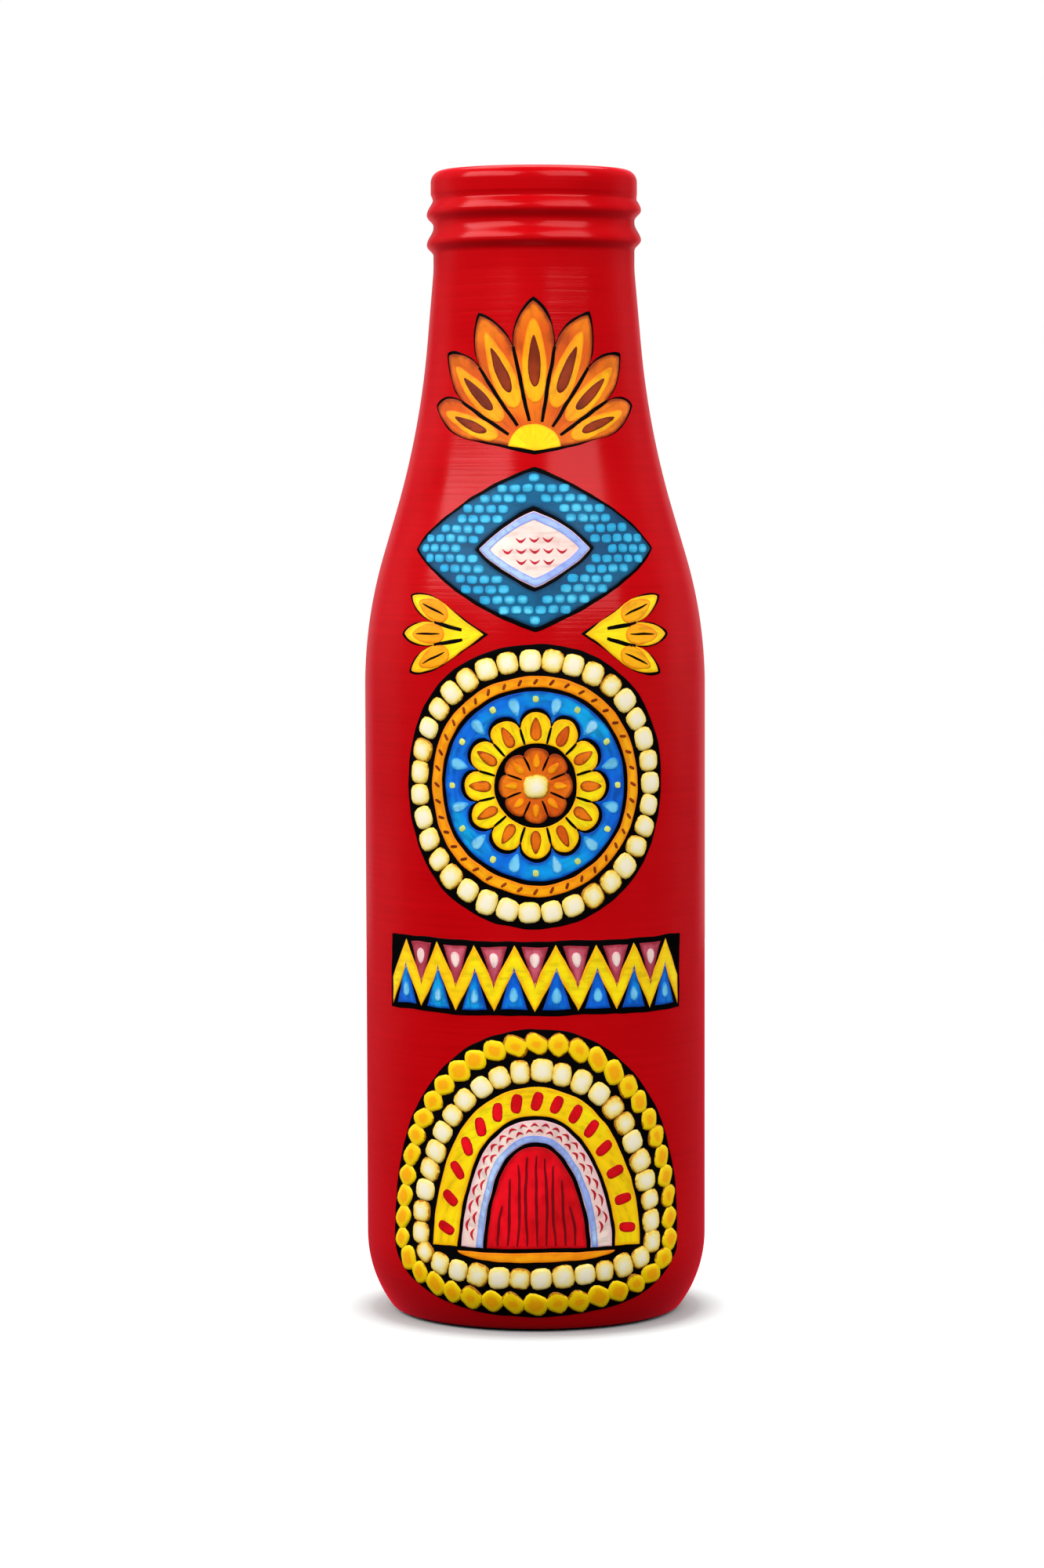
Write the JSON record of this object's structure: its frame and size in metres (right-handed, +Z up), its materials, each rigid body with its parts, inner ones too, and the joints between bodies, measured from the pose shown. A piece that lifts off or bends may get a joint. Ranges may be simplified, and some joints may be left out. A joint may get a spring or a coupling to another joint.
{
  "type": "decorative bottle",
  "caption": "Open glass bottle with round shoulders and a threaded neck, coated red all over, with a raised hand-painted folk ornament down its front.",
  "frame": {"origin": "on the floor under the bottle's axis, at the middle of its foot ring", "axes": "+Z up along the bottle's axis to the mouth; the ornament faces -Y; +X to the right of it"},
  "size_m": [0.067, 0.0684, 0.2243],
  "materials": {
    "clear_glass": "clear, polished, pressed and blown soda-lime glass",
    "red_enamel": "brushed-on gloss paint with faint brush marks",
    "black_paint": "satin black outline paint",
    "burnt_orange_paint": "satin hand-laid paint",
    "teal_paint": "satin hand-laid paint",
    "shell_pink_paint": "satin hand-laid paint",
    "cream_paint": "satin hand-laid paint",
    "amber_paint": "satin hand-laid paint",
    "blue_paint": "satin hand-laid paint",
    "yellow_paint": "satin hand-laid paint",
    "scarlet_paint": "satin hand-laid paint"
  },
  "bodies": {
    "root": {"glass_bottle": "clear_glass", "red_enamel_coat": "red_enamel", "lotus_ground": "black_paint", "lotus_petals": "burnt_orange_paint", "lozenge_ground": "black_paint", "lozenge_field": "teal_paint", "lozenge_heart": "shell_pink_paint", "left_sprig_ground": "black_paint", "left_sprig": "yellow_paint", "right_sprig_ground": "black_paint", "right_sprig": "yellow_paint", "medallion_ground": "black_paint", "medallion_pearls": "cream_paint", "medallion_amber_ring": "amber_paint", "medallion_blue_field": "blue_paint", "medallion_petals": "yellow_paint", "medallion_rosette": "burnt_orange_paint", "belt_ground": "black_paint", "belt_zigzag": "yellow_paint", "egg_ground": "black_paint", "egg_rope": "amber_paint", "egg_pearls": "cream_paint", "egg_boat": "amber_paint", "egg_yellow_arch": "yellow_paint", "egg_textile_arch": "shell_pink_paint", "egg_pleats": "scarlet_paint"}
  },
  "joints": []
}
